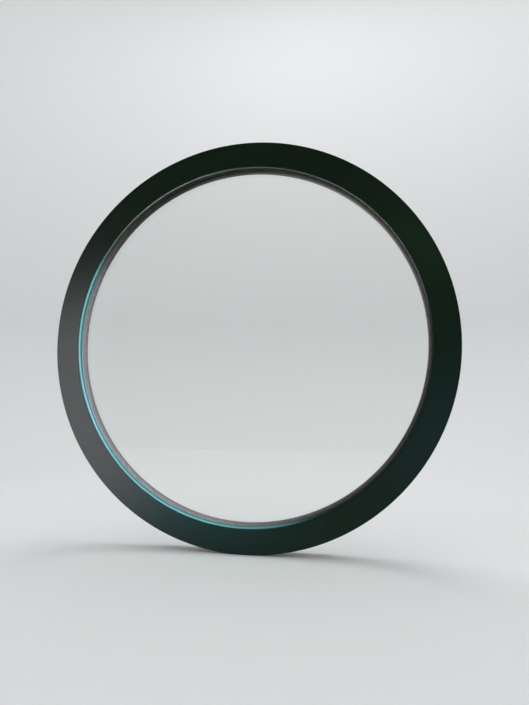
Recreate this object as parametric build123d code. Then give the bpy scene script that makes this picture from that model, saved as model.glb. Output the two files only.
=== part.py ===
from build123d import *
import math
import os

# Fixed round window in a rolled metal frame of two shells, glazed from the room side.
# Millimetres. The window's axis is Y, the room is towards -Y and +Z is up.
# The origin is the centre of the circle of fixing holes, on the plane that meets the masonry.
# A section is an outline of (radius, y) points that is turned about the axis.

# Directions round the window, in degrees from +X as the room sees it
top = 90.0
bottom = 270.0

# Face and radial sizes
ring_r = 600.0  # outer radius of the cover ring
face_w = 71.0  # width of its flat face
nose_r = 5.4  # radius of the bead's rounded nose
nose_gap = 0.6  # joint line between cover ring and bead
edge_cover = 10.0  # how far the bead overlaps the glass
block_t = 6.0  # room for the blocks round the glass
frame_w = 36.0  # from the rebate to the outside of the frame
wall_t = 2.0  # wall of the frame's chambers

# Depths, from the flat face towards the outdoors
bead_depth = 14.0
room_gasket_t = 5.0
pane_t = 4.0
cavity = 16.0
weather_gasket_t = 4.0
lip_t = 10.0  # outer lip that holds the glass from outdoors
seat_step = 3.0  # the seat on the masonry stands this far behind the lip
inner_shell_d = 16.0
outer_shell_d = 18.0

# Cover ring
cover_t = 3.0
cover_bevel = 1.0
cover_ease = 0.6
rim_t = 2.4  # rim that turns back to the wall
rim_h = 2.0
rim_seal_t = 2.0
rim_seal_inset = 0.2
leg_t = 1.8
leg_h = 8.0
leg_clear = 1.0  # between the legs' ends and the frame
barb = 0.8
barb_rise = 0.4
barb_h = 2.0

# Cover clips
clip_count = 12
clip_w = 12.0
clip_len = 24.0
clip_clear = 0.3
clip_corner = 1.0

# Glazing bead
nose_set_back = 1.0
bead_wall_t = 1.8
bead_flange_w = 9.0
bead_gap = 0.6  # under the cover ring
bead_side_gap = 1.0
bead_joint = 0.8  # butt joint at the top
hook_d = 2.6
hook_t = 1.8
hook_clear = 0.3
hook_lip_t = 1.1  # frame lip that the hook snaps behind

# Gaskets
foot_inset = 3.4
foot_w = 3.2
foot_d = 2.4
foot_clear = 0.2
gasket_proud = 0.5  # lip at the glass, inside the sight line
gasket_set_back = 0.8
gasket_land = 1.0

# Sealed unit
spacer_h = 9.0
edge_seal_h = 7.0
block_len = 80.0
block_count = 6
block_low = 0.5  # blocks further down than this share of the radius carry the glass

# Thermal strips
strip_t = 2.0
strip_inset = 5.0
dovetail_d = 2.2
dovetail_flare = 0.4
dovetail_clear = 0.1
ledge_w = 4.0  # carries the blocks across the thermal gap

# Outer shell
seat_w = 23.0
lip_edge = 2.0
lip_bevel_w = 7.0

# Fixing lugs
lug_count = 8
lug_t = 2.5
lug_w = 40.0
lug_leg = 15.0
lug_bend_r = 1.5
lug_corner = 6.0
fix_offset = 13.0  # from the frame's outside to the fixing holes
fix_edge = 9.0
fix_hole_r = 4.25
lug_screw_pitch = 24.0
lug_screw_y = -9.0

# Screws
screw_clear = 0.1
clip_screw = {"head_r": 3.5, "head_h": 2.2, "shank_r": 1.75, "length": 16.0}
clip_screw_sunk = 0.4
lug_screw = {"head_r": 4.4, "head_h": 2.6, "shank_r": 2.1, "length": 13.0}
point_h = 3.0
land_share = 0.25  # rim of a screw's head, of its height

# Drainage
weep_len = 25.0
weep_w = 5.0
weep_spread = 12.0  # degrees between the slots
drain_r = 2.5
drain_spread = 6.0
cap_len = 36.0
cap_w = 13.0
cap_h = 2.6
cap_wall = 0.9
cap_peg = 2.0
cap_peg_d = 3.0
cap_clear = 0.2

# Radii that follow
cover_in_r = ring_r - face_w
nose_top_r = cover_in_r - nose_gap
sight_r = nose_top_r - nose_r
pane_r = sight_r + edge_cover
rebate_r = pane_r + block_t
frame_r = rebate_r + frame_w
groove_r = rebate_r + hook_d
foot_in_r = sight_r + foot_inset
foot_out_r = foot_in_r + foot_w
gasket_out_r = sight_r + bead_flange_w
inner_strip_r = rebate_r + strip_inset
outer_strip_r = frame_r - strip_inset - strip_t
clip_r = (groove_r + frame_r + wall_t) / 2
seat_r = frame_r - seat_w
lip_chamber_r = foot_out_r + 2 * wall_t
shell_chamber_r = rebate_r + 2 * wall_t
weep_r = (seat_r + sight_r + lip_bevel_w) / 2
drain_at_r = (lip_chamber_r + rebate_r) / 2
fix_r = frame_r + fix_offset
lug_end_r = fix_r + fix_edge
screw_head_r = frame_r + lug_t + lug_screw["head_h"]

# Planes that follow
total_depth = (
    bead_depth + room_gasket_t + 2 * pane_t + cavity + weather_gasket_t + lip_t + seat_step
)
face_y = -total_depth
cover_back_y = face_y + cover_t
bead_end_y = face_y + bead_depth
glass_in_y = bead_end_y + room_gasket_t
cavity_in_y = glass_in_y + pane_t
cavity_out_y = cavity_in_y + cavity
glass_out_y = cavity_out_y + pane_t
lip_y = glass_out_y + weather_gasket_t
drip_y = lip_y + lip_t
seat_y = drip_y + seat_step
shell_y = cover_back_y + leg_h + leg_clear
inner_end_y = shell_y + inner_shell_d
outer_start_y = seat_y - outer_shell_d
hook_y = shell_y + hook_lip_t + hook_clear


def section(*outline):
    """Flat face inside a closed outline of (radius, y) points."""
    return make_face(Polyline(*outline, close=True))


def turned(face):
    """Ring swept by a section about the window's axis."""
    return revolve(face, axis=Axis.Y)


def sector(face, length, radius):
    """Arc of a ring, centred on +X, with the given length at the given radius."""
    angle = math.degrees(length / radius)
    return Rot(0, angle / 2, 0) * revolve(face, axis=Axis.Y, revolution_arc=angle)


def placed(shape, angle):
    """Shape carried round the axis from +X, anticlockwise as the room sees it."""
    return Rot(0, -angle, 0) * shape


def spread(count, first=0.0):
    """Even angles round the window, in degrees."""
    return [first + 360.0 * i / count for i in range(count)]


def dovetail(strip_r, end_y, into, clear):
    """Outline points of a strip's foot in a shell, from its inner to its outer side.

    into is +1 or -1, the way the foot points, and clear widens it into the groove."""
    bottom_y = end_y + into * (dovetail_d + clear)
    return [
        (strip_r - clear, end_y),
        (strip_r - dovetail_flare - clear, bottom_y),
        (strip_r + strip_t + dovetail_flare + clear, bottom_y),
        (strip_r + strip_t + clear, end_y),
    ]


def cover_leg(side):
    """Barbed leg behind the cover ring; side is +1 for the outer one, -1 for the inner."""
    grip = clip_r + side * (clip_w / 2 + clip_clear)
    end_y = cover_back_y + leg_h
    tip_y = end_y - barb_h + barb_rise
    return [
        (grip + side * leg_t, cover_back_y),
        (grip + side * leg_t, end_y),
        (grip + side * barb_rise, end_y),
        (grip - side * barb, tip_y),
        (grip, end_y - barb_h),
        (grip, cover_back_y),
    ]


def cover_ring():
    """Flat ring with a rim back to the wall and two legs that snap over the clips."""
    rim_y = cover_back_y + rim_h
    return turned(
        section(
            (cover_in_r + cover_ease, face_y),
            (ring_r - cover_bevel, face_y),
            (ring_r, face_y + cover_bevel),
            (ring_r, rim_y),
            (ring_r - rim_t, rim_y),
            (ring_r - rim_t, cover_back_y),
            *cover_leg(1),
            *reversed(cover_leg(-1)),
            (cover_in_r, cover_back_y),
            (cover_in_r, face_y + cover_ease),
        )
    )


def cover_edge_seal():
    """Foam strip between the cover ring's rim and the wall."""
    rim_y = cover_back_y + rim_h
    return turned(
        section(
            (ring_r - rim_t, rim_y),
            (ring_r - rim_seal_inset, rim_y),
            (ring_r - rim_seal_inset, rim_y + rim_seal_t),
            (ring_r - rim_t, rim_y + rim_seal_t),
        )
    )


def glazing_bead():
    """Open-backed bead with a rounded nose, a gasket groove and a hook for the frame."""
    nose_y = face_y + nose_set_back
    nose_end_y = nose_y + nose_r
    flange_y = cover_back_y + bead_gap
    inside_y = flange_y + bead_wall_t
    foot_y = bead_end_y - foot_d
    bead_out_r = rebate_r - bead_side_gap
    hook_tip_r = groove_r - hook_clear
    inside_r = sight_r + bead_wall_t
    slope = math.sqrt(0.5) * nose_r
    nose = ThreePointArc(
        (nose_top_r, nose_y),
        (nose_top_r - slope, nose_end_y - slope),
        (sight_r, nose_end_y),
    )
    rest = Polyline(
        (sight_r, nose_end_y),
        (sight_r, bead_end_y),
        (foot_in_r, bead_end_y),
        (foot_in_r, foot_y),
        (foot_out_r, foot_y),
        (foot_out_r, bead_end_y),
        (gasket_out_r, bead_end_y),
        (gasket_out_r, foot_y - bead_wall_t),
        (inside_r, foot_y - bead_wall_t),
        (inside_r, inside_y + bead_wall_t),
        (inside_r + bead_wall_t, inside_y),
        (bead_out_r - bead_wall_t, inside_y),
        (bead_out_r - bead_wall_t, hook_y + hook_t),
        (hook_tip_r, hook_y + hook_t),
        (hook_tip_r, hook_y),
        (bead_out_r, hook_y),
        (bead_out_r, flange_y),
        (nose_top_r, flange_y),
        (nose_top_r, nose_y),
    )
    joint = Box(groove_r, bead_depth * 2, bead_joint)
    joint = Pos(groove_r, face_y + bead_depth, 0) * joint
    return turned(make_face(nose + rest)) - placed(joint, top)


def gasket(glass_y, carrier_y):
    """Ring of rubber between a pane and its carrier, with a foot in the carrier's groove."""
    away = 1 if carrier_y > glass_y else -1
    foot_y = carrier_y + away * (foot_d - foot_clear)
    lip_r = sight_r - gasket_proud
    return turned(
        section(
            (lip_r, glass_y),
            (gasket_out_r, glass_y),
            (gasket_out_r, carrier_y),
            (foot_out_r - foot_clear, carrier_y),
            (foot_out_r - foot_clear, foot_y),
            (foot_in_r + foot_clear, foot_y),
            (foot_in_r + foot_clear, carrier_y),
            (sight_r + gasket_set_back, carrier_y),
            (lip_r, glass_y + away * gasket_land),
        )
    )


def band(low_r, high_r, low_y, high_y):
    """Rectangular section."""
    return section((low_r, low_y), (high_r, low_y), (high_r, high_y), (low_r, high_y))


def pane(first_y):
    """Round sheet of glass."""
    return turned(band(0, pane_r, first_y, first_y + pane_t))


def spacer_ring():
    """Warm-edge spacer that holds the panes apart."""
    seal_r = pane_r - edge_seal_h
    return turned(band(seal_r - spacer_h, seal_r, cavity_in_y, cavity_out_y))


def edge_seal():
    """Sealant behind the spacer, out to the edge of the glass."""
    return turned(band(pane_r - edge_seal_h, pane_r, cavity_in_y, cavity_out_y))


def glass_blocks(angles):
    """Blocks between the edge of the glass and the rebate."""
    block = sector(band(pane_r, rebate_r, glass_in_y, glass_out_y), block_len, pane_r)
    return [placed(block, angle) for angle in angles]


def thermal_strip(strip_r):
    """Insulating strip whose flared feet lock into both shells."""
    inner_foot = dovetail(strip_r, inner_end_y, -1, 0)
    outer_foot = dovetail(strip_r, outer_start_y, 1, 0)
    return turned(section(*inner_foot, *reversed(outer_foot)))


def inner_frame():
    """Room-side shell: one chamber, the bead's groove, and a screw hole for each clip."""
    outline = section(
        (rebate_r, shell_y),
        (frame_r, shell_y),
        (frame_r, inner_end_y),
        *reversed(dovetail(outer_strip_r, inner_end_y, -1, dovetail_clear)),
        *reversed(dovetail(inner_strip_r, inner_end_y, -1, dovetail_clear)),
        (rebate_r, inner_end_y),
        (rebate_r, hook_y + hook_t + hook_clear),
        (groove_r, hook_y + hook_t + hook_clear),
        (groove_r, shell_y + hook_lip_t),
        (rebate_r, shell_y + hook_lip_t),
    )
    chamber = band(
        groove_r + wall_t,
        frame_r - wall_t,
        shell_y + wall_t,
        inner_end_y - dovetail_d - wall_t,
    )
    holes = [placed(clip_screw_form(screw_clear), angle) for angle in clip_angles()]
    return turned(outline - chamber) - holes


def outer_frame():
    """Weather-side shell: bevelled lip, seat on the masonry, drainage and lug screw holes."""
    outline = section(
        (rebate_r, outer_start_y - ledge_w),
        (rebate_r + wall_t, outer_start_y - ledge_w),
        (rebate_r + wall_t, outer_start_y),
        *dovetail(inner_strip_r, outer_start_y, 1, dovetail_clear),
        *dovetail(outer_strip_r, outer_start_y, 1, dovetail_clear),
        (frame_r, outer_start_y),
        (frame_r, seat_y),
        (seat_r, seat_y),
        (seat_r, drip_y),
        (sight_r + lip_bevel_w, drip_y),
        (sight_r, lip_y + lip_edge),
        (sight_r, lip_y),
        (foot_in_r, lip_y),
        (foot_in_r, lip_y + foot_d),
        (foot_out_r, lip_y + foot_d),
        (foot_out_r, lip_y),
        (rebate_r, lip_y),
    )
    chamber = section(
        (shell_chamber_r, outer_start_y + dovetail_d + wall_t),
        (frame_r - wall_t, outer_start_y + dovetail_d + wall_t),
        (frame_r - wall_t, seat_y - wall_t),
        (seat_r + wall_t, seat_y - wall_t),
        (seat_r + wall_t, drip_y - wall_t),
        (lip_chamber_r, drip_y - wall_t),
        (lip_chamber_r, lip_y + wall_t),
        (shell_chamber_r, lip_y + wall_t),
    )
    holes = [placed(weep_slot(), angle) for angle in weep_angles()]
    holes += [placed(drain_hole(), bottom + side * drain_spread) for side in (-1, 1)]
    holes += [placed(hole, angle) for angle in lug_angles() for hole in lug_screw_forms(screw_clear)]
    return turned(outline - chamber) - holes


def clip_angles():
    """Angles of the cover clips, clear of the butt joint at the top."""
    return spread(clip_count, 180.0 / clip_count)


def lug_angles():
    """Angles of the fixing lugs, clear of the bottom."""
    return spread(lug_count, 180.0 / lug_count)


def weep_angles():
    """Angles of the weep slots, about the lowest point."""
    return [bottom + weep_spread * step for step in (-1, 0, 1)]


def screw_form(head_r, head_h, shank_r, length, countersunk, clear):
    """Screw along +Z with the top of its head at the origin; clear swells it into its hole."""
    land = head_h * land_share
    if countersunk:
        head = [(head_r, 0), (head_r, land)]
    else:
        head = [(head_r - land, 0), (head_r, land), (head_r, head_h)]
    shank = [(shank_r, head_h), (shank_r, length - point_h)]
    swollen = [(radius + clear, z) for radius, z in head + shank]
    profile = Polyline((0, 0), *swollen, (0, length), close=True)
    return revolve(Plane.XZ * make_face(profile), axis=Axis.Z)


def clip_screw_form(clear):
    """Countersunk screw of a cover clip, at +X, pointing outdoors."""
    form = screw_form(**clip_screw, countersunk=True, clear=clear)
    return Pos(clip_r, cover_back_y + clip_clear + clip_screw_sunk, 0) * Rot(-90, 0, 0) * form


def lug_screw_forms(clear):
    """The two pan-head screws of a fixing lug, at +X, pointing at the window's axis."""
    form = Rot(0, -90, 0) * screw_form(**lug_screw, countersunk=False, clear=clear)
    pitch = lug_screw_pitch / 2
    return [Pos(screw_head_r, lug_screw_y, side * pitch) * form for side in (-1, 1)]


def clip_screws():
    """Screws that hold the cover clips to the frame."""
    return [placed(clip_screw_form(0), angle) for angle in clip_angles()]


def lug_screws():
    """Screws that hold the fixing lugs to the frame."""
    return [placed(screw, angle) for angle in lug_angles() for screw in lug_screw_forms(0)]


def cover_clips():
    """Moulded clips, with a head for the cover ring's barbs and a narrower neck."""
    head = clip_w / 2
    neck = head - barb
    head_y = cover_back_y + clip_clear
    shoulder_y = cover_back_y + leg_h - barb_h - clip_clear
    outline = section(
        (clip_r - head, head_y),
        (clip_r + head, head_y),
        (clip_r + head, shoulder_y),
        (clip_r + neck, shoulder_y),
        (clip_r + neck, shell_y),
        (clip_r - neck, shell_y),
        (clip_r - neck, shoulder_y),
        (clip_r - head, shoulder_y),
    )
    clip = extrude(outline, amount=clip_len / 2, both=True)
    clip = fillet(clip.edges().filter_by(Axis.Y).group_by(SortBy.DISTANCE)[-1], clip_corner)
    clip -= clip_screw_form(screw_clear)
    return [placed(clip, angle) for angle in clip_angles()]


def fixing_lugs():
    """Bent steel lugs, one leg screwed to the frame and one drilled for the wall."""
    outline = section(
        (frame_r, seat_y - lug_leg),
        (frame_r + lug_t, seat_y - lug_leg),
        (frame_r + lug_t, seat_y - lug_t),
        (lug_end_r, seat_y - lug_t),
        (lug_end_r, seat_y),
        (frame_r, seat_y),
    )
    lug = extrude(outline, amount=lug_w / 2, both=True)
    heel = lug.edges().filter_by(Axis.Z).sort_by_distance((frame_r, seat_y, 0))[0]
    lug = fillet(heel, lug_bend_r + lug_t)
    bend = lug.edges().filter_by(Axis.Z).sort_by_distance((frame_r + lug_t, seat_y - lug_t, 0))[0]
    lug = fillet(bend, lug_bend_r)
    lug = fillet(lug.edges().filter_by(Axis.Y).sort_by(Axis.X)[-2:], lug_corner)
    lug -= Pos(fix_r, seat_y, 0) * Rot(90, 0, 0) * Cylinder(fix_hole_r, 4 * lug_t)
    lug -= lug_screw_forms(screw_clear)
    return [placed(lug, angle) for angle in lug_angles()]


def weep_slot():
    """Slot at +X from the chamber to the outdoors."""
    slot = extrude(SlotOverall(weep_len, weep_w), amount=1.5 * wall_t, both=True)
    return Pos(weep_r, drip_y, 0) * Rot(0, 90, 0) * Rot(90, 0, 0) * slot


def drain_hole():
    """Hole at +X from the space round the glass into the chamber."""
    return Pos(drain_at_r, lip_y, 0) * Rot(90, 0, 0) * Cylinder(drain_r, 3 * wall_t)


def weep_caps():
    """Hoods over the weep slots, open downwards, with two pegs in each slot."""
    hood = Box(cap_w, cap_h, cap_len, align=(Align.CENTER, Align.MIN, Align.CENTER))
    hood = fillet(hood.edges().filter_by(Axis.Y), cap_wall)
    hollow = Box(
        cap_w,
        cap_h - cap_wall,
        cap_len - 2 * cap_wall,
        align=(Align.CENTER, Align.MIN, Align.CENTER),
    )
    hood -= Pos(cap_wall, 0, 0) * hollow
    peg = Box(
        weep_w - 2 * cap_clear,
        cap_peg_d + cap_h - cap_wall / 2,
        cap_peg,
        align=(Align.CENTER, Align.MIN, Align.CENTER),
    )
    reach = (weep_len - weep_w - cap_peg) / 2
    for side in (-1, 1):
        hood += Pos(0, -cap_peg_d, side * reach) * peg
    cap = Pos(weep_r, drip_y, 0) * hood
    return [placed(cap, angle) for angle in weep_angles()]


def export(node, *solids):
    """Write one node, a single solid or a group of like ones."""
    shape = solids[0] if len(solids) == 1 else Compound(children=list(solids))
    export_step(shape, os.path.join("parts", node + ".step"))


os.makedirs("parts", exist_ok=True)
block_angles = spread(block_count)
setting_angles = [angle for angle in block_angles if math.sin(math.radians(angle)) < -block_low]
location_angles = [angle for angle in block_angles if angle not in setting_angles]

export("cover_ring", cover_ring())
export("cover_edge_seal", cover_edge_seal())
export("cover_clips", *cover_clips())
export("clip_screws", *clip_screws())
export("glazing_bead", glazing_bead())
export("room_gasket", gasket(glass_in_y, bead_end_y))
export("room_pane", pane(glass_in_y))
export("spacer_ring", spacer_ring())
export("edge_seal", edge_seal())
export("weather_pane", pane(cavity_out_y))
export("weather_gasket", gasket(glass_out_y, lip_y))
export("setting_blocks", *glass_blocks(setting_angles))
export("location_blocks", *glass_blocks(location_angles))
export("inner_frame", inner_frame())
export("inner_thermal_strip", thermal_strip(inner_strip_r))
export("outer_thermal_strip", thermal_strip(outer_strip_r))
export("outer_frame", outer_frame())
export("fixing_lugs", *fixing_lugs())
export("lug_screws", *lug_screws())
export("weep_caps", *weep_caps())
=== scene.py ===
import math

import bmesh
import bpy
import numpy as np
from mathutils import Matrix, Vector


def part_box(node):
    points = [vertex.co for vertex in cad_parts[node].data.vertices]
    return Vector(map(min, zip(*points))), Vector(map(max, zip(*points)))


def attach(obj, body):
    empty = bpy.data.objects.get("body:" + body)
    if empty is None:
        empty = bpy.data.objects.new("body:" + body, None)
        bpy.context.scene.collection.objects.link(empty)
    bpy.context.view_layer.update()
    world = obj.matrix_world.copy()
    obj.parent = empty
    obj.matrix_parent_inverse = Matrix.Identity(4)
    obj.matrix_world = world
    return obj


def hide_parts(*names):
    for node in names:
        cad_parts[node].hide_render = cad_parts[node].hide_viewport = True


# A fixed round window with a painted metal frame, glazed from its inner side.
# Metres. The window's axis is Y, its inner side is towards -Y and +Z is up.
# A section is a closed outline of (radius, y) points that is turned about the axis.

MM = 0.001
FULL_TURN = 2 * math.pi
QUARTER_TURN = math.pi / 2
TOP = QUARTER_TURN

# Cover ring
RING_R = 600 * MM
FACE_W = 71 * MM
COVER_T = 3 * MM
COVER_BEVEL = 1.0 * MM
COVER_EASE = 0.6 * MM
RIM_T = 2.4 * MM
RIM_H = 2 * MM
LEG_T = 1.8 * MM
LEG_H = 8 * MM
BARB = 0.8 * MM
BARB_RISE = 0.4 * MM
BARB_H = 2 * MM
CLIP_COUNT = 12
CLIP_W = 12 * MM
CLIP_CLEAR = 0.3 * MM

# Glazing bead
NOSE_R = 5.4 * MM
NOSE_GAP = 0.6 * MM
NOSE_SET_BACK = 1 * MM
BEAD_DEPTH = 14 * MM
BEAD_WALL_T = 1.8 * MM
BEAD_FLANGE_W = 9 * MM
BEAD_GAP = 0.6 * MM
BEAD_SIDE_GAP = 1 * MM
BEAD_JOINT = 0.8 * MM
HOOK_D = 2.6 * MM
HOOK_T = 1.8 * MM
HOOK_CLEAR = 0.3 * MM
HOOK_LIP_T = 1.1 * MM

# Gaskets, glass and spacer
FOOT_INSET = 3.4 * MM
FOOT_W = 3.2 * MM
FOOT_D = 2.4 * MM
FOOT_CLEAR = 0.2 * MM
GASKET_PROUD = 0.5 * MM
GASKET_SET_BACK = 0.8 * MM
GASKET_LAND = 1 * MM
WEATHER_GASKET_T = 4 * MM
EDGE_COVER = 10 * MM
SPACER_H = 9 * MM
EDGE_SEAL_H = 7 * MM

# Frame and lugs
BLOCK_T = 6 * MM
FRAME_W = 36 * MM
WALL_T = 2 * MM
LUG_COUNT = 8
LUG_T = 2.5 * MM

# Screws
CLIP_SCREW_R = 3.5 * MM
CLIP_SCREW_H = 2.2 * MM
CLIP_SCREW_L = 16 * MM
CLIP_SCREW_SUNK = 0.4 * MM
CLIP_SHANK_R = 1.75 * MM
LUG_SCREW_R = 4.4 * MM
LUG_SCREW_H = 2.6 * MM
LUG_SCREW_L = 13 * MM
LUG_SCREW_DOME = 1.6 * MM
LUG_SCREW_PITCH = 24 * MM
LUG_SCREW_Y = -9 * MM
LUG_SHANK_R = 2.1 * MM
SCREW_POINT_H = 3 * MM
SCREW_LAND = 0.25
CROSS_W = 0.9 * MM
CROSS_L = 4 * MM
CROSS_D = 1.3 * MM
CROSS_SLOPE = 0.3 * MM
SCREW_TIP_R = CROSS_SLOPE / 4

# Roundings that catch the light
PAINT_ROUND = 0.35 * MM
RUBBER_ROUND = 0.3 * MM
SPACER_ROUND = 0.5 * MM
SHELL_BEVEL = 0.3 * MM
SHEET_BEVEL = 0.25 * MM
CAP_BEVEL = 0.2 * MM
BLOCK_BEVEL = 0.3 * MM

# Fineness of the surfaces
SEGMENTS = 360
CORNER_STEPS = 3
CORNER_SHARE = 0.45
NOSE_STEPS = 14
DOME_STEPS = 6
HEAD_STEPS = 14
SCREW_SEGMENTS = 48
BEVEL_STEPS = 2
SMOOTH_UP_TO = math.radians(40)
FLAT_UP_TO = math.radians(0.4)
MERGE_WITHIN = 0.001 * MM
LARGE_FACE_WEIGHT = 100

# Colours of the paint, between which it drifts
PAINT_DARK = (0.0026, 0.0146, 0.0064)
PAINT_PALE = (0.0032, 0.0168, 0.0076)

# Radii that follow
COVER_IN_R = RING_R - FACE_W
NOSE_TOP_R = COVER_IN_R - NOSE_GAP
SIGHT_R = NOSE_TOP_R - NOSE_R
PANE_R = SIGHT_R + EDGE_COVER
REBATE_R = PANE_R + BLOCK_T
FRAME_R = REBATE_R + FRAME_W
GROOVE_R = REBATE_R + HOOK_D
FOOT_IN_R = SIGHT_R + FOOT_INSET
FOOT_OUT_R = FOOT_IN_R + FOOT_W
GASKET_OUT_R = SIGHT_R + BEAD_FLANGE_W
CLIP_R = (GROOVE_R + FRAME_R + WALL_T) / 2

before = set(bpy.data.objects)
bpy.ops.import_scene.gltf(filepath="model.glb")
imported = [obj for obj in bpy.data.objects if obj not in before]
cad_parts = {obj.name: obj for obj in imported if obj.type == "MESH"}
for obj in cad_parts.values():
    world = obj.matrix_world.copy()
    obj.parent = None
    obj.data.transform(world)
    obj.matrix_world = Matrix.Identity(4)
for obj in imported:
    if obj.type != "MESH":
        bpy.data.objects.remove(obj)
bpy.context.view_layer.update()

# Depths that follow
FACE_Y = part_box("cover_ring")[0].y
COVER_BACK_Y = FACE_Y + COVER_T
RIM_Y = COVER_BACK_Y + RIM_H
NOSE_Y = FACE_Y + NOSE_SET_BACK
SHELL_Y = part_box("inner_frame")[0].y
GLASS_IN_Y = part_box("room_pane")[0].y
CAVITY_IN_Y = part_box("room_pane")[1].y
CAVITY_OUT_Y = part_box("weather_pane")[0].y
GLASS_OUT_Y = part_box("weather_pane")[1].y
BEAD_END_Y = FACE_Y + BEAD_DEPTH
LIP_Y = GLASS_OUT_Y + WEATHER_GASKET_T
HOOK_Y = SHELL_Y + HOOK_LIP_T + HOOK_CLEAR


def rounded(outline, cut):
    """Closed outline with its corners rounded, each by an arc.

    A corner P whose arc starts at A and ends at B, both at the distance cut from P, becomes
    the points (u u A + 2 u t w P + t t B) / (u u + 2 u t w + t t), with u = 1 - t, for t
    from 0 to 1. The weight w is the cosine of half the turn, which makes the arc circular."""
    corner = np.asarray(outline, float)
    back = np.roll(corner, 1, axis=0) - corner
    on = np.roll(corner, -1, axis=0) - corner
    back_len = np.linalg.norm(back, axis=1, keepdims=True)
    on_len = np.linalg.norm(on, axis=1, keepdims=True)
    back = back / back_len
    on = on / on_len
    longest = CORNER_SHARE * np.minimum(back_len, on_len)
    reach = np.minimum(np.asarray(cut, float).reshape(-1, 1), longest)
    weight = np.sqrt(np.clip((1 - np.sum(back * on, axis=1)) / 2, 0, 1))[:, None, None]
    start = (corner + back * reach)[:, None]
    end = (corner + on * reach)[:, None]
    t = np.linspace(0, 1, CORNER_STEPS + 1)[None, :, None]
    u = 1 - t
    arc = u * u * start + 2 * u * t * weight * corner[:, None] + t * t * end
    arc = arc / (u * u + 2 * u * t * weight + t * t)
    keep = (reach > 0) | (t[0, :, 0] == 0)
    return arc[keep]


def window_piece(name, mesh, material, node):
    """Object of the window from a mesh, in place of the named CAD node."""
    mesh.shade_smooth()
    mesh.set_sharp_from_angle(angle=SMOOTH_UP_TO)
    mesh.materials.clear()
    mesh.materials.append(material)
    piece = bpy.data.objects.new(name, mesh)
    bpy.context.scene.collection.objects.link(piece)
    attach(piece, "root")
    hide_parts(node)
    return piece


def flat_faces_stay_flat(piece):
    """Leans the shading normals to the larger faces, so that only the roundings shade as round."""
    weight = piece.modifiers.new("weighted_normals", "WEIGHTED_NORMAL")
    weight.keep_sharp = True
    weight.weight = LARGE_FACE_WEIGHT


def mesh_piece(name, points, faces, material, node):
    """Object of the window from points and faces, in place of the named CAD node."""
    mesh = bpy.data.meshes.new(name)
    mesh.from_pydata(points.reshape(-1, 3), [], faces)
    piece = window_piece(name, mesh, material, node)
    flat_faces_stay_flat(piece)
    return piece


def softened(node, material, width):
    """Copy of a CAD node with its loose triangles merged and its edges bevelled."""
    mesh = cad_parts[node].data.copy()
    mesh.name = node + "_softened"
    form = bmesh.new()
    form.from_mesh(mesh)
    bmesh.ops.remove_doubles(form, verts=form.verts, dist=MERGE_WITHIN)
    bmesh.ops.dissolve_limit(form, angle_limit=FLAT_UP_TO, verts=form.verts, edges=form.edges)
    form.to_mesh(mesh)
    form.free()
    piece = window_piece(mesh.name, mesh, material, node)
    bevel = piece.modifiers.new("bevel", "BEVEL")
    bevel.width = width
    bevel.segments = BEVEL_STEPS
    bevel.limit_method = "ANGLE"
    bevel.angle_limit = SMOOTH_UP_TO
    bevel.use_clamp_overlap = False
    flat_faces_stay_flat(piece)
    return piece


def grid_faces(rows, columns, rows_close):
    """Quads of a grid whose columns close on themselves, and whose rows do if asked."""
    row = np.arange(rows if rows_close else rows - 1)[:, None]
    column = np.arange(columns)[None, :]
    next_row = (row + 1) % rows
    next_column = (column + 1) % columns
    corners = (
        row * columns + column,
        row * columns + next_column,
        next_row * columns + next_column,
        next_row * columns + column,
    )
    return np.stack(corners, axis=-1).reshape(-1, 4)


def turned(name, outline, material, node, gap=0.0):
    """Ring swept by a section about the window's axis.

    The outline's point (radius, y) sits at (radius cos a, y, radius sin a) for each angle a.
    A gap is an open joint of that width at the top, whose two ends are closed."""
    radius, y = outline.T
    if np.sum(radius * np.roll(y, -1) - np.roll(radius, -1) * y) < 0:
        radius, y = radius[::-1], y[::-1]
    half_gap = gap / 2 / radius.mean()
    angle = TOP + np.linspace(half_gap, FULL_TURN - half_gap, SEGMENTS, endpoint=gap > 0)
    points = np.stack(
        (
            np.outer(np.cos(angle), radius),
            np.broadcast_to(y, (len(angle), len(y))),
            np.outer(np.sin(angle), radius),
        ),
        axis=-1,
    )
    faces = grid_faces(len(angle), len(radius), gap == 0).tolist()
    if gap:
        first_end = np.arange(len(radius))
        faces.append(first_end[::-1].tolist())
        faces.append((first_end + len(radius) * (len(angle) - 1)).tolist())
    return mesh_piece(name, points, faces, material, node)


def cover_leg(side):
    """Barbed leg behind the cover ring; side is +1 for the outer one, -1 for the inner."""
    grip = CLIP_R + side * (CLIP_W / 2 + CLIP_CLEAR)
    end_y = COVER_BACK_Y + LEG_H
    return [
        (grip + side * LEG_T, COVER_BACK_Y),
        (grip + side * LEG_T, end_y),
        (grip + side * BARB_RISE, end_y),
        (grip - side * BARB, end_y - BARB_H + BARB_RISE),
        (grip, end_y - BARB_H),
        (grip, COVER_BACK_Y),
    ]


def cover_section():
    """Flat ring with a rim behind its outer edge and two legs."""
    outline = [
        (COVER_IN_R, FACE_Y),
        (RING_R, FACE_Y),
        (RING_R, RIM_Y),
        (RING_R - RIM_T, RIM_Y),
        (RING_R - RIM_T, COVER_BACK_Y),
        *cover_leg(1),
        *reversed(cover_leg(-1)),
        (COVER_IN_R, COVER_BACK_Y),
    ]
    cut = np.full(len(outline), PAINT_ROUND)
    cut[0] = COVER_EASE
    cut[1] = COVER_BEVEL
    return rounded(outline, cut)


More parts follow.
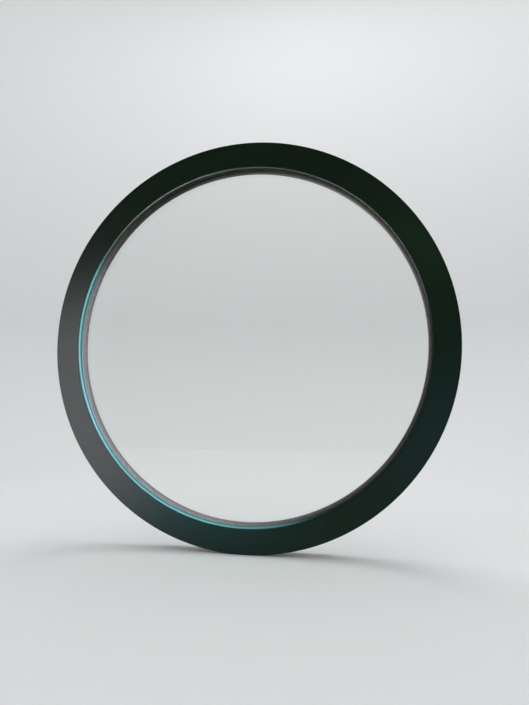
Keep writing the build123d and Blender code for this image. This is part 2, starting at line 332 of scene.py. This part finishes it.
def bead_section():
    """Bead with a rounded nose, a gasket groove and a hook for the frame.

    The nose is a quarter circle: (top radius - r cos a, depth of its end - r sin a) for the
    angle a from a quarter turn to none."""
    flange_y = COVER_BACK_Y + BEAD_GAP
    inside_y = flange_y + BEAD_WALL_T
    foot_y = BEAD_END_Y - FOOT_D
    out_r = REBATE_R - BEAD_SIDE_GAP
    tip_r = GROOVE_R - HOOK_CLEAR
    inside_r = SIGHT_R + BEAD_WALL_T
    turn = np.linspace(QUARTER_TURN, 0, NOSE_STEPS + 1)
    nose_r = NOSE_TOP_R - NOSE_R * np.cos(turn)
    nose_y = NOSE_Y + NOSE_R - NOSE_R * np.sin(turn)
    nose = np.stack((nose_r, nose_y), axis=-1)
    rest = [
        (SIGHT_R, BEAD_END_Y),
        (FOOT_IN_R, BEAD_END_Y),
        (FOOT_IN_R, foot_y),
        (FOOT_OUT_R, foot_y),
        (FOOT_OUT_R, BEAD_END_Y),
        (GASKET_OUT_R, BEAD_END_Y),
        (GASKET_OUT_R, foot_y - BEAD_WALL_T),
        (inside_r, foot_y - BEAD_WALL_T),
        (inside_r, inside_y + BEAD_WALL_T),
        (inside_r + BEAD_WALL_T, inside_y),
        (out_r - BEAD_WALL_T, inside_y),
        (out_r - BEAD_WALL_T, HOOK_Y + HOOK_T),
        (tip_r, HOOK_Y + HOOK_T),
        (tip_r, HOOK_Y),
        (out_r, HOOK_Y),
        (out_r, flange_y),
        (NOSE_TOP_R, flange_y),
    ]
    cut = np.concatenate((np.zeros(len(nose)), np.full(len(rest), PAINT_ROUND)))
    return rounded(np.concatenate((nose, rest)), cut)


def gasket_section(glass_y, carrier_y):
    """Rubber between a pane and its carrier, with a foot in the carrier's groove."""
    away = 1 if carrier_y > glass_y else -1
    foot_y = carrier_y + away * (FOOT_D - FOOT_CLEAR)
    lip_r = SIGHT_R - GASKET_PROUD
    outline = [
        (lip_r, glass_y),
        (GASKET_OUT_R, glass_y),
        (GASKET_OUT_R, carrier_y),
        (FOOT_OUT_R - FOOT_CLEAR, carrier_y),
        (FOOT_OUT_R - FOOT_CLEAR, foot_y),
        (FOOT_IN_R + FOOT_CLEAR, foot_y),
        (FOOT_IN_R + FOOT_CLEAR, carrier_y),
        (SIGHT_R + GASKET_SET_BACK, carrier_y),
        (lip_r, glass_y + away * GASKET_LAND),
    ]
    return rounded(outline, RUBBER_ROUND)


def spacer_section():
    """Spacer with softened edges, between the panes."""
    out_r = PANE_R - EDGE_SEAL_H
    outline = [
        (out_r - SPACER_H, CAVITY_IN_Y),
        (out_r, CAVITY_IN_Y),
        (out_r, CAVITY_OUT_Y),
        (out_r - SPACER_H, CAVITY_OUT_Y),
    ]
    return rounded(outline, SPACER_ROUND)


def cross_arm(across, along):
    """Depth of one arm of a screw's cross at a place on its head.

    It is CROSS_D inside half the arm's width and half its length, and rises to the head over
    CROSS_SLOPE. The shallower of the two slopes counts."""
    side = np.clip((CROSS_W / 2 - np.abs(across)) / CROSS_SLOPE + 0.5, 0, 1)
    end = np.clip((CROSS_L / 2 - np.abs(along)) / CROSS_SLOPE + 0.5, 0, 1)
    return CROSS_D * np.minimum(side, end)


def pan_head():
    """Outline of a lug screw's head: a flat top, a quarter-circle shoulder and a straight side."""
    turn = np.linspace(0, QUARTER_TURN, DOME_STEPS)
    shoulder_r = LUG_SCREW_R - LUG_SCREW_DOME * (1 - np.sin(turn))
    shoulder_depth = LUG_SCREW_DOME * (1 - np.cos(turn))
    under = [(LUG_SCREW_R, LUG_SCREW_H), (LUG_SHANK_R, LUG_SCREW_H)]
    return np.concatenate((np.stack((shoulder_r, shoulder_depth), axis=-1), under))


def countersunk_head():
    """Outline of a clip screw's head: a flat top, a short straight land and a cone."""
    land = CLIP_SCREW_H * SCREW_LAND
    return np.array([(CLIP_SCREW_R, 0), (CLIP_SCREW_R, land), (CLIP_SHANK_R, CLIP_SCREW_H)])


def screw_form(head, length):
    """Screw about its own axis, as (u, v, depth) from the top of its head.

    The head's outline ends at the shank's radius. The line runs out over the head and in under
    it, down the shank and in to the point. Its point (r, depth) sits at
    (r cos a, r sin a, depth + the deeper arm of the cross) for each angle a."""
    out = np.linspace(SCREW_TIP_R, head[0, 0], HEAD_STEPS, endpoint=False)
    top = np.stack((out, 0 * out), axis=-1)
    shank = [(head[-1, 0], length - SCREW_POINT_H), (SCREW_TIP_R, length)]
    line = np.concatenate((top, head, shank))
    angle = np.linspace(0, FULL_TURN, SCREW_SEGMENTS, endpoint=False)
    u = np.outer(line[:, 0], np.cos(angle))
    v = np.outer(line[:, 0], np.sin(angle))
    recess = np.maximum(cross_arm(u, v), cross_arm(v, u))
    on_top = (line[:, 1] == 0)[:, None]
    return u, v, line[:, 1:] + on_top * recess


def screw_set(name, forms, count, material, node):
    """Like screws round the window, each form being in place at +X before it is carried round.

    The point (x, y, z) goes to (x cos a - z sin a, y, x sin a + z cos a) for each angle a."""
    x, y, z = np.moveaxis(np.asarray(forms), -1, 0)[:, None]
    turn = np.radians((np.arange(count) + 0.5) * 360 / count).reshape(-1, 1, 1, 1)
    points = np.stack(
        (
            x * np.cos(turn) - z * np.sin(turn),
            np.broadcast_to(y, (count, *y.shape[1:])),
            x * np.sin(turn) + z * np.cos(turn),
        ),
        axis=-1,
    )
    screws = count * len(forms)
    rows, columns = points.shape[2:4]
    first = np.arange(screws)[:, None, None] * rows * columns
    sides = first + grid_faces(rows, columns, False)
    head = first + np.arange(columns)[::-1]
    tip = first + np.arange((rows - 1) * columns, rows * columns)
    faces = [face for one in zip(sides, head, tip) for part in one for face in part.tolist()]
    return mesh_piece(name, points, faces, material, node)


def lug_screws(material):
    """Two pan-head screws through each lug, pointing at the window's axis."""
    u, v, depth = screw_form(pan_head(), LUG_SCREW_L)
    x = FRAME_R + LUG_T + LUG_SCREW_H - depth
    forms = [
        np.stack((x, LUG_SCREW_Y + v, side * LUG_SCREW_PITCH / 2 + u), axis=-1)
        for side in (-1, 1)
    ]
    return screw_set("lug_screws_pan_head", forms, LUG_COUNT, material, "lug_screws")


def clip_screws(material):
    """One countersunk screw through each cover clip, pointing along the window's axis."""
    u, v, depth = screw_form(countersunk_head(), CLIP_SCREW_L)
    y = COVER_BACK_Y + CLIP_CLEAR + CLIP_SCREW_SUNK + depth
    forms = [np.stack((CLIP_R + v, y, u), axis=-1)]
    return screw_set("clip_screws_countersunk", forms, CLIP_COUNT, material, "clip_screws")


class Finish:
    """Node material of one finish, with short ways to add and join its nodes."""

    def __init__(self, name):
        self.material = bpy.data.materials.new(name)
        self.material.use_nodes = True
        self.tree = self.material.node_tree
        self.tree.nodes.clear()
        self.output = self.add("ShaderNodeOutputMaterial")
        self.shader = self.add("ShaderNodeBsdfPrincipled")
        self.join(self.shader, "BSDF", self.output, "Surface")
        self.place = self.add("ShaderNodeTexCoord")

    def add(self, kind, **values):
        node = self.tree.nodes.new(kind)
        for key, value in values.items():
            setattr(node, key, value)
        return node

    def join(self, source, out, target, into):
        self.tree.links.new(source.outputs[out], target.inputs[into])

    def fix(self, socket, value):
        """The shader's own value, the same all over the surface."""
        self.shader.inputs[socket].default_value = value

    def noise(self, scale, detail=2.0):
        """Noise over the piece's own place, with features of about 1 / scale metres."""
        node = self.add("ShaderNodeTexNoise")
        node.inputs["Scale"].default_value = scale
        node.inputs["Detail"].default_value = detail
        self.join(self.place, "Object", node, "Vector")
        return node

    def spread(self, source, out, low, high, from_low=0.0, from_high=1.0):
        """Source's values from from_low to from_high, laid out between low and high."""
        node = self.add("ShaderNodeMapRange")
        node.inputs["From Min"].default_value = from_low
        node.inputs["From Max"].default_value = from_high
        node.inputs["To Min"].default_value = low
        node.inputs["To Max"].default_value = high
        self.join(source, out, node, "Value")
        return node

    def tone(self, factor, first, second):
        """Base colour between first and second by a factor."""
        node = self.add("ShaderNodeMix", data_type="RGBA")
        node.inputs["A"].default_value = (*first, 1)
        node.inputs["B"].default_value = (*second, 1)
        self.join(factor, "Result", node, "Factor")
        self.join(node, "Result", self.shader, "Base Color")

    def cloudy_tone(self, scale, detail, first, second):
        """Base colour that drifts between first and second in soft clouds."""
        clouds = self.noise(scale, detail)
        factor = self.spread(clouds, "Fac", 0.0, 1.0, from_low=0.3, from_high=0.7)
        self.tone(factor, first, second)

    def dull(self, scale, detail, low, high, from_low=0.0, from_high=1.0):
        """Roughness that drifts between low and high in soft clouds."""
        clouds = self.noise(scale, detail)
        roughness = self.spread(clouds, "Fac", low, high, from_low, from_high)
        self.join(roughness, "Result", self.shader, "Roughness")

    def grain(self, scale, detail, strength, depth):
        """Fine relief of soft clouds, depth metres deep."""
        clouds = self.noise(scale, detail)
        node = self.add("ShaderNodeBump")
        node.inputs["Strength"].default_value = strength
        node.inputs["Distance"].default_value = depth
        self.join(clouds, "Fac", node, "Height")
        self.join(node, "Normal", self.shader, "Normal")


def satin_paint():
    """Dark blue-green powder coat: fine orange peel, slightly uneven sheen."""
    finish = Finish("satin_paint")
    finish.cloudy_tone(scale=6.0, detail=3.0, first=PAINT_DARK, second=PAINT_PALE)
    finish.dull(scale=40.0, detail=4.0, low=0.4, high=0.46)
    finish.grain(scale=850.0, detail=1.0, strength=0.12, depth=0.3 * MM)
    finish.fix("Specular IOR Level", 0.18)
    return finish.material


def rubber(name, colour, grain):
    """Matt rubber or foam with a fine grain."""
    finish = Finish(name)
    pale = tuple(1.5 * c + 0.004 for c in colour)
    finish.cloudy_tone(scale=90.0, detail=4.0, first=colour, second=pale)
    finish.dull(scale=300.0, detail=2.0, low=0.6, high=0.8)
    finish.grain(scale=grain, detail=3.0, strength=0.2, depth=0.3 * MM)
    return finish.material


def moulded(name, colour, gloss=0.5):
    """Moulded plastic with a fine spark-eroded grain."""
    finish = Finish(name)
    finish.fix("Specular IOR Level", gloss)
    dark = tuple(0.9 * c for c in colour)
    finish.cloudy_tone(scale=30.0, detail=2.0, first=dark, second=colour)
    finish.dull(scale=500.0, detail=2.0, low=0.42, high=0.58)
    finish.grain(scale=1800.0, detail=2.0, strength=0.15, depth=0.1 * MM)
    return finish.material


def plated_steel(name, colour, spangle, dull_low, dull_high):
    """Zinc on steel, with crystals of about 1 / spangle metres."""
    finish = Finish(name)
    finish.fix("Metallic", 1.0)
    crystals = finish.add("ShaderNodeTexVoronoi")
    crystals.inputs["Scale"].default_value = spangle
    finish.join(finish.place, "Object", crystals, "Vector")
    factor = finish.spread(crystals, "Distance", 0.0, 1.0, from_low=0.0, from_high=0.6)
    finish.tone(factor, colour, tuple(0.8 * c for c in colour))
    finish.dull(spangle, detail=3.0, low=dull_low, high=dull_high)
    finish.grain(3 * spangle, detail=2.0, strength=0.1, depth=0.2 * MM)
    return finish.material


def clear_glass():
    """Float glass, faintly green; light from the lamps passes straight through it."""
    finish = Finish("clear_glass")
    finish.fix("Base Color", (0.975, 0.99, 0.982, 1))
    finish.fix("Transmission Weight", 1.0)
    finish.fix("IOR", 1.5)
    finish.dull(scale=5.0, detail=4.0, low=0.0, high=0.012, from_low=0.45, from_high=0.75)
    path = finish.add("ShaderNodeLightPath")
    through = finish.add("ShaderNodeBsdfTransparent")
    through.inputs["Color"].default_value = (0.93, 0.97, 0.95, 1)
    mix = finish.add("ShaderNodeMixShader")
    finish.join(path, "Is Shadow Ray", mix, "Fac")
    finish.join(finish.shader, "BSDF", mix, 1)
    finish.join(through, "BSDF", mix, 2)
    finish.join(mix, "Shader", finish.output, "Surface")
    return finish.material


paint = satin_paint()
gasket_rubber = rubber("gasket_rubber", (0.024, 0.024, 0.025), grain=900.0)
foam = rubber("foam_strip", (0.02, 0.02, 0.02), grain=1500.0)
sealant = rubber("edge_sealant", (0.014, 0.014, 0.015), grain=600.0)
spacer_plastic = moulded("spacer_black", (0.042, 0.038, 0.034), gloss=0.05)
strip_plastic = moulded("strip_plastic", (0.022, 0.022, 0.024))
cap_plastic = moulded("cap_plastic", (0.026, 0.026, 0.027))
clip_plastic = moulded("clip_plastic", (0.6, 0.58, 0.52))
block_plastic = moulded("block_plastic", (0.08, 0.2, 0.45))
galvanised = plated_steel(
    "galvanised_steel", (0.55, 0.57, 0.58), spangle=140.0, dull_low=0.35, dull_high=0.5
)
screw_zinc = plated_steel(
    "plated_screws", (0.62, 0.62, 0.6), spangle=600.0, dull_low=0.28, dull_high=0.4
)
glass = clear_glass()

# Rings, turned again with rounded corners
room_lip = gasket_section(GLASS_IN_Y, BEAD_END_Y)
weather_lip = gasket_section(GLASS_OUT_Y, LIP_Y)
cover = turned("cover_ring_painted", cover_section(), paint, "cover_ring")
bead = turned("bead_painted", bead_section(), paint, "glazing_bead", gap=BEAD_JOINT)
room_rubber = turned(
    "room_gasket_rubber", room_lip, gasket_rubber, "room_gasket"
)
turned("weather_gasket_rubber", weather_lip, gasket_rubber, "weather_gasket")
spacer = turned("spacer_black", spacer_section(), spacer_plastic, "spacer_ring")

lug_screws(screw_zinc)
clip_screws(screw_zinc)

softened("inner_frame", paint, SHELL_BEVEL)
softened("outer_frame", paint, SHELL_BEVEL)
softened("fixing_lugs", galvanised, SHEET_BEVEL)
softened("weep_caps", cap_plastic, CAP_BEVEL)
softened("cover_clips", clip_plastic, SHEET_BEVEL)
softened("setting_blocks", block_plastic, BLOCK_BEVEL)
softened("location_blocks", block_plastic, BLOCK_BEVEL)

# CAD nodes that stay as they are
node_finishes = {
    "cover_edge_seal": foam,
    "room_pane": glass,
    "weather_pane": glass,
    "edge_seal": sealant,
    "inner_thermal_strip": strip_plastic,
    "outer_thermal_strip": strip_plastic,
}
for node, finish in node_finishes.items():
    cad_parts[node].data.materials.clear()
    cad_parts[node].data.materials.append(finish)

# Camera at the photograph's viewing angle
EYE = (0.352, -1.549, -0.139)
YAW = math.radians(11.118)
PITCH = math.radians(4.194)
LENS = 27.0
SENSOR_W = 36.0

# Stage
FLOOR_Z = -RING_R
STAGE_Y = -1.3
FLOOR_R = 3.0
SWEEP_R = 1.0
SWEEP_STEPS = 32
STAGE_TOP_Z = 4.0
STAGE_SEGMENTS = 144
STAGE_PALE = (0.78, 0.785, 0.79)
CARD_Y = -2.6
CARD_HALF_W = 4.0
CARD_DARK = (0.1, 0.1, 0.09, 1)
TOP_LAMP_PLACE = (0.3, 0.6, 3.7)
TOP_LAMP_AT = (0, 0.2, 0)
TOP_LAMP_W = 2.4
TOP_LAMP_H = 1.8
TOP_LAMP_WATTS = 66
WHITE = (1, 1, 1)
SKY_COLOUR = (0.8, 0.805, 0.81, 1)
SKY_STRENGTH = 0.95

# Rows of softboxes that the bead's nose mirrors as lines.
# The levels are (angle round the window in degrees, radiance) pairs.
# The slopes are degrees on the nose, 0 where it faces the axis and 90 where it faces -Y.
SOFTBOX_REACH = 0.08
LAMP_STEP = 8
WATTS_PER_RADIANCE = math.pi
SUN_LEVELS = [
    (152, 38), (160, 41), (180, 44), (195, 36), (213, 34), (225, 39), (240, 40), (250, 38), (260, 30),
    (270, 21), (288, 8),
]
SUN_SLOPES = (30, 80)
SUN_BANDS = 4
SUN_COLOUR = (0.37, 0.68, 0.99)
PALE_LEVELS = [
    (10, 11), (20, 11), (40, 13), (50, 18), (60, 14), (70, 10), (92, 13), (102, 27), (120, 34),
    (132, 26), (152, 26),
]
PALE_SLOPES = (38, 52)
PALE_BANDS = 1
PALE_COLOUR = (1.0, 0.94, 0.94)

# Softboxes in front of the window that give its flat face a sheen:
# name, place, (width, height), watts and colour
SHEENS = [
    ("room_haze", (-0.82, -0.6, -0.2), (0.65, 0.88), 15, (0.98, 0.87, 0.99)),
    ("room_blue_haze", (-0.28, -0.5, -0.52), (0.6, 0.14), 1.2, (0.1, 0.7, 1.0)),
    ("room_low_haze", (0.56, -0.5, -0.28), (0.35, 0.34), 0.46, (0.25, 0.58, 1.0)),
    ("room_high_haze", (0.55, -0.5, 0.39), (0.3, 0.3), 0.22, (0.62, 1.0, 0.33)),
]

# Low light from behind the window, and one from the front
SUN_PLACE = (2.4, 0.4, 1.65)
SUN_CONE = math.radians(17.5)
FRONT_PLACE = (-2.0, -1.3, -1.2)
FRONT_CONE = math.radians(24)


def stage_sheet():
    """Pale floor that sweeps up into a backdrop all round.

    Its line runs level to the sweep, turns up a quarter circle and rises straight. The line's
    point (radius, z) sits at (radius cos a, STAGE_Y + radius sin a, z) for each angle a."""
    turn = np.linspace(0, QUARTER_TURN, SWEEP_STEPS + 1)
    rise_r = FLOOR_R + SWEEP_R
    radius = np.concatenate(([FLOOR_R / 2], FLOOR_R + SWEEP_R * np.sin(turn), [rise_r]))
    z = np.concatenate(([FLOOR_Z], FLOOR_Z + SWEEP_R * (1 - np.cos(turn)), [STAGE_TOP_Z]))
    angle = np.linspace(0, FULL_TURN, STAGE_SEGMENTS, endpoint=False)
    points = np.stack(
        (
            np.outer(radius, np.cos(angle)),
            STAGE_Y + np.outer(radius, np.sin(angle)),
            np.repeat(z[:, None], len(angle), axis=1),
        ),
        axis=-1,
    )
    faces = grid_faces(len(z), len(angle), False)[:, ::-1].tolist()
    faces.append(list(range(len(angle))))
    finish = Finish("stage_pale")
    shade = tuple(0.985 * c for c in STAGE_PALE)
    finish.cloudy_tone(scale=0.6, detail=2.0, first=shade, second=STAGE_PALE)
    finish.fix("Roughness", 0.85)
    finish.fix("Specular IOR Level", 0.1)
    sheet = stage_object("stage_sheet", points, faces, finish.material)
    sheet.data.shade_smooth()
    return sheet


def dark_card():
    """Dark card behind the camera that only reflections see, as a studio's flag."""
    x = CARD_HALF_W * np.array([-1, 1, 1, -1])
    z = np.array([FLOOR_Z, FLOOR_Z, STAGE_TOP_Z, STAGE_TOP_Z])
    points = np.stack((x, np.full(4, CARD_Y), z), axis=-1)
    finish = Finish("card_black")
    finish.fix("Base Color", CARD_DARK)
    finish.fix("Roughness", 1.0)
    card = stage_object("dark_card", points, [(0, 1, 2, 3)], finish.material)
    card.visible_camera = False
    card.visible_diffuse = False
    card.visible_transmission = False
    card.visible_shadow = False
    return card


def stage_object(name, points, faces, material):
    """Object of the stage, which isn't part of the window."""
    mesh = bpy.data.meshes.new(name)
    mesh.from_pydata(points.reshape(-1, 3), [], faces)
    mesh.materials.append(material)
    thing = bpy.data.objects.new(name, mesh)
    bpy.context.scene.collection.objects.link(thing)
    return thing


def aim(thing, place, at):
    """Puts a lamp at place, looking at a point."""
    thing.location = place
    gaze = np.subtract(at, place)
    flat = math.hypot(gaze[0], gaze[1])
    thing.rotation_euler = (math.atan2(flat, -gaze[2]), 0, math.atan2(-gaze[0], gaze[1]))


def softbox(name, width, height, power, colour):
    """Rectangular area lamp that neither the camera nor the glass shows."""
    lamp = bpy.data.lights.new(name, "AREA")
    lamp.shape = "RECTANGLE"
    lamp.size = width
    lamp.size_y = height
    lamp.energy = power
    lamp.color = colour
    thing = bpy.data.objects.new(name, lamp)
    bpy.context.scene.collection.objects.link(thing)
    thing.visible_camera = False
    thing.visible_transmission = False
    return thing


def lit_group(name, pieces):
    """Pieces of the window that have lamps of their own."""
    group = bpy.data.collections.new(name)
    for piece in pieces:
        group.objects.link(piece)
    return group


def light_only(lamp, group):
    """The lamp lights this group alone, and only the group casts its shadows."""
    lamp.light_linking.receiver_collection = group
    lamp.light_linking.blocker_collection = group


def sheen_softbox(name, place, size, power, colour, group):
    """Softbox square to the flat face, seen only in the gloss of the group's pieces."""
    lamp = softbox(name, *size, power, colour)
    aim(lamp, place, (place[0], 0, place[2]))
    lamp.visible_diffuse = False
    light_only(lamp, group)
    return lamp


def cone_light(name, place, at, cone, power, colour, group, size=0.1, edge=0.12):
    """Light in a cone that stays on this group."""
    lamp = bpy.data.lights.new(name, "SPOT")
    lamp.energy = power
    lamp.color = colour
    lamp.shadow_soft_size = size
    lamp.spot_size = cone
    lamp.spot_blend = edge
    thing = bpy.data.objects.new(name, lamp)
    bpy.context.scene.collection.objects.link(thing)
    aim(thing, place, at)
    light_only(thing, group)
    return thing


def nose_mirrors(turn, slope):
    """Frames of the softboxes that the bead's nose mirrors to the camera.

    For each angle round the window and each slope of the nose, the camera's ray meets the
    nose at P with the normal n and leaves it along R = 2 (n . V) n - V, where V points back to
    the camera. The softbox's centre is P + SOFTBOX_REACH R. Its third axis is R, its first is
    the nose's own direction made square to R, and its second is square to both. Each frame is
    a matrix of four rows, whose columns are the three axes and the centre."""
    turn, slope = np.broadcast_arrays(turn, slope)
    normal = np.stack(
        (-np.cos(turn) * np.cos(slope), -np.sin(slope), -np.sin(turn) * np.cos(slope)), axis=-1
    )
    radius = SIGHT_R + NOSE_R * (1 - np.cos(slope))
    y = NOSE_Y + NOSE_R * (1 - np.sin(slope))
    place = np.stack((radius * np.cos(turn), y, radius * np.sin(turn)), axis=-1)
    back = np.array(EYE) - place
    back = back / np.linalg.norm(back, axis=-1, keepdims=True)
    away = 2 * np.sum(normal * back, axis=-1, keepdims=True) * normal - back
    centre = place + SOFTBOX_REACH * away
    along = np.stack((-np.sin(turn), np.zeros(turn.shape), np.cos(turn)), axis=-1)
    along = along - np.sum(along * away, axis=-1, keepdims=True) * away
    along = along / np.linalg.norm(along, axis=-1, keepdims=True)
    frames = np.zeros((*centre.shape[:2], 4, 4))
    frames[..., :3, :] = np.stack((along, np.cross(away, along), away, centre), axis=-1)
    frames[..., 3, 3] = 1
    return frames


def line_lamps(name, levels, slopes, bands, colour, group):
    """Small softboxes whose mirror images join into a line along the bead's nose.

    The line is cut into steps of about LAMP_STEP degrees and the slopes into bands. A softbox
    is as wide as a step where it stands, and as high as its band makes the mirrored ray swing.
    The radiance runs straight between the levels."""
    angles, radiances = np.transpose(levels)
    count = round((angles[-1] - angles[0]) / LAMP_STEP)
    step = (angles[-1] - angles[0]) / count
    degrees = angles[0] + step * (np.arange(count) + 0.5)
    tilt = (slopes[1] - slopes[0]) / bands
    slope = slopes[0] + tilt * (np.arange(bands) + 0.5)
    frames = nose_mirrors(np.radians(degrees)[:, None], np.radians(slope)[None, :])
    width = math.radians(step) * np.hypot(frames[..., 0, 3], frames[..., 2, 3])
    height = 2 * math.radians(tilt) * SOFTBOX_REACH
    radiance = np.interp(degrees, angles, radiances)[:, None]
    power = WATTS_PER_RADIANCE * radiance * width * height
    for i, j in np.ndindex(count, bands):
        lamp = softbox(name, width[i, j], height, power[i, j], colour)
        lamp.data.cycles.max_bounces = 0
        lamp.matrix_world = Matrix(frames[i, j].tolist())
        lamp.visible_diffuse = False
        light_only(lamp, group)


stage_sheet()
dark_card()

top_lamp = softbox("studio_soft_top", TOP_LAMP_W, TOP_LAMP_H, TOP_LAMP_WATTS, WHITE)
aim(top_lamp, TOP_LAMP_PLACE, TOP_LAMP_AT)

front_face = lit_group("front_face_on", [cover, bead])
bead_alone = lit_group("bead_on", [bead])
seal_alone = lit_group("seal_on", [room_rubber])
spacer_alone = lit_group("spacer_on", [spacer])

for name, place, size, power, colour in SHEENS:
    sheen_softbox(name, place, size, power, colour, front_face)
line_lamps("sun_line", SUN_LEVELS, SUN_SLOPES, SUN_BANDS, SUN_COLOUR, bead_alone)
line_lamps("pale_line", PALE_LEVELS, PALE_SLOPES, PALE_BANDS, PALE_COLOUR, bead_alone)
cone_light(
    "bead_light",
    SUN_PLACE,
    at=(0.01, -0.05, -0.014),
    cone=SUN_CONE,
    power=6900,
    colour=(0.29, 0.48, 0.75),
    group=bead_alone,
    size=0.02,
    edge=0.03,
)
cone_light(
    "seal_light",
    SUN_PLACE,
    at=(0, -0.05, 0),
    cone=SUN_CONE,
    power=2850,
    colour=(0.66, 0.89, 1.0),
    group=seal_alone,
)
cone_light(
    "spacer_light",
    SUN_PLACE,
    at=(0, -0.05, 0),
    cone=SUN_CONE,
    power=2280,
    colour=(0.94, 0.86, 1.0),
    group=spacer_alone,
)
cone_light(
    "spacer_front_light",
    FRONT_PLACE,
    at=(-0.42, -0.04, -0.27),
    cone=FRONT_CONE,
    power=2280,
    colour=(0.94, 0.87, 1.0),
    group=spacer_alone,
)

sky = bpy.data.worlds.new("studio")
sky.use_nodes = True
sky.node_tree.nodes["Background"].inputs["Color"].default_value = SKY_COLOUR
sky.node_tree.nodes["Background"].inputs["Strength"].default_value = SKY_STRENGTH
bpy.context.scene.world = sky

camera = bpy.data.cameras.new("camera")
camera.lens = LENS
camera.sensor_width = SENSOR_W
viewer = bpy.data.objects.new("camera", camera)
viewer.location = EYE
viewer.rotation_euler = (QUARTER_TURN + PITCH, 0, YAW)
bpy.context.scene.collection.objects.link(viewer)
bpy.context.scene.camera = viewer
bpy.context.scene.view_settings.view_transform = "Standard"

bpy.context.view_layer.update()
